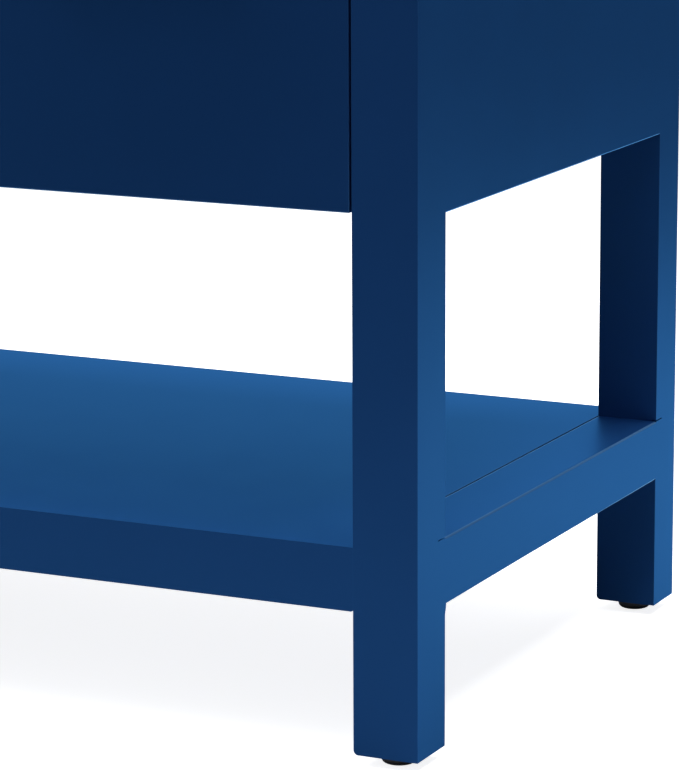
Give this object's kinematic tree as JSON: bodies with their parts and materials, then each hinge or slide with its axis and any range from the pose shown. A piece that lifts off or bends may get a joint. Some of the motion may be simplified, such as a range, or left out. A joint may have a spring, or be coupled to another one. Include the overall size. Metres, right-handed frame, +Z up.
{
  "type": "bathroom vanity cabinet",
  "caption": "Painted bathroom vanity cabinet without its top: inset doors and drawers between square legs, over an open bottom shelf on side rails, standing on levelling glides.",
  "frame": {"origin": "on the floor, under the middle of the outline that the cabinet and its pulls fill", "axes": "+X to the right along the front, +Y towards the wall behind, +Z up; the front faces -Y"},
  "size_m": [1.219, 0.58, 0.851],
  "materials": {
    "navy_paint": "satin navy paint on wood",
    "birch": "clear satin lacquer on birch",
    "brass": "satin brushed brass",
    "zinc_steel": "bright zinc plate",
    "black_plastic": "matt black moulded plastic"
  },
  "bodies": {
    "cabinet": {"leg_front_left": "navy_paint", "leg_front_right": "navy_paint", "leg_back_left": "navy_paint", "leg_back_right": "navy_paint", "foot_sleeves": "zinc_steel", "shelf_rail_front": "navy_paint", "shelf_rail_back": "navy_paint", "shelf_rail_left": "navy_paint", "shelf_rail_right": "navy_paint", "shelf_panel": "navy_paint", "shelf_battens": "navy_paint", "side_panel_left": "navy_paint", "side_panel_right": "navy_paint", "cabinet_floor": "navy_paint", "back_panel": "navy_paint", "top_rail_front": "navy_paint", "top_rail_back": "navy_paint", "corner_blocks": "navy_paint", "center_stile": "navy_paint", "partition": "navy_paint", "slide_packers": "birch", "inner_shelf": "navy_paint", "shelf_pins": "zinc_steel", "hinge_frame_leaves_left": "brass", "hinge_frame_leaves_right": "brass", "hinge_pins": "brass", "magnetic_catch": "black_plastic", "upper_slide_cabinet": "zinc_steel", "lower_slide_cabinet": "zinc_steel"},
    "left_door": {"door_left": "navy_paint", "door_pull_left": "brass", "hinge_door_leaves_left": "brass", "strike_plate_left": "zinc_steel"},
    "right_door": {"door_right": "navy_paint", "door_pull_right": "brass", "hinge_door_leaves_right": "brass", "strike_plate_right": "zinc_steel"},
    "upper_drawer": {"upper_drawer_front": "navy_paint", "upper_drawer_pull": "brass", "upper_box_left": "birch", "upper_box_right": "birch", "upper_box_front": "birch", "upper_box_back": "birch", "upper_box_bottom": "birch", "upper_slide_drawer": "zinc_steel"},
    "upper_runners": {"upper_slide_middle": "zinc_steel"},
    "lower_drawer": {"lower_drawer_front": "navy_paint", "lower_drawer_pull": "brass", "lower_box_left": "birch", "lower_box_right": "birch", "lower_box_front": "birch", "lower_box_back": "birch", "lower_box_bottom": "birch", "lower_slide_drawer": "zinc_steel"},
    "lower_runners": {"lower_slide_middle": "zinc_steel"},
    "glide_front_left": {"foot_front_left": "black_plastic"},
    "glide_front_right": {"foot_front_right": "black_plastic"},
    "glide_back_left": {"foot_back_left": "black_plastic"},
    "glide_back_right": {"foot_back_right": "black_plastic"}
  },
  "joints": [
    {"name": "left_door_hinge", "type": "hinge", "parent": "cabinet", "child": "left_door", "pos_m": [-0.5545, -0.2592, 0.62425], "axis": [0, 0, -1], "range_deg": [0, 110]},
    {"name": "right_door_hinge", "type": "hinge", "parent": "cabinet", "child": "right_door", "pos_m": [0.1225, -0.2592, 0.62425], "axis": [0, 0, 1], "range_deg": [0, 90]},
    {"name": "upper_drawer_slide", "type": "slide", "parent": "cabinet", "child": "upper_drawer", "axis": [0, -1, 0], "range_m": [0, 0.4]},
    {"name": "upper_runner_slide", "type": "slide", "parent": "cabinet", "child": "upper_runners", "axis": [0, -1, 0], "range_m": [0, 0.2]},
    {"name": "lower_drawer_slide", "type": "slide", "parent": "cabinet", "child": "lower_drawer", "axis": [0, -1, 0], "range_m": [0, 0.4]},
    {"name": "lower_runner_slide", "type": "slide", "parent": "cabinet", "child": "lower_runners", "axis": [0, -1, 0], "range_m": [0, 0.2]},
    {"name": "foot_screw_front_left", "type": "slide", "parent": "cabinet", "child": "glide_front_left", "axis": [0, 0, 1], "range_m": [-0.012, 0]},
    {"name": "foot_screw_front_right", "type": "slide", "parent": "cabinet", "child": "glide_front_right", "axis": [0, 0, 1], "range_m": [-0.012, 0]},
    {"name": "foot_screw_back_left", "type": "slide", "parent": "cabinet", "child": "glide_back_left", "axis": [0, 0, 1], "range_m": [-0.012, 0]},
    {"name": "foot_screw_back_right", "type": "slide", "parent": "cabinet", "child": "glide_back_right", "axis": [0, 0, 1], "range_m": [-0.012, 0]}
  ],
  "couplings": [
    {"joint": "upper_runner_slide", "follows": "upper_drawer_slide", "ratio": 0.5},
    {"joint": "lower_runner_slide", "follows": "lower_drawer_slide", "ratio": 0.5}
  ]
}
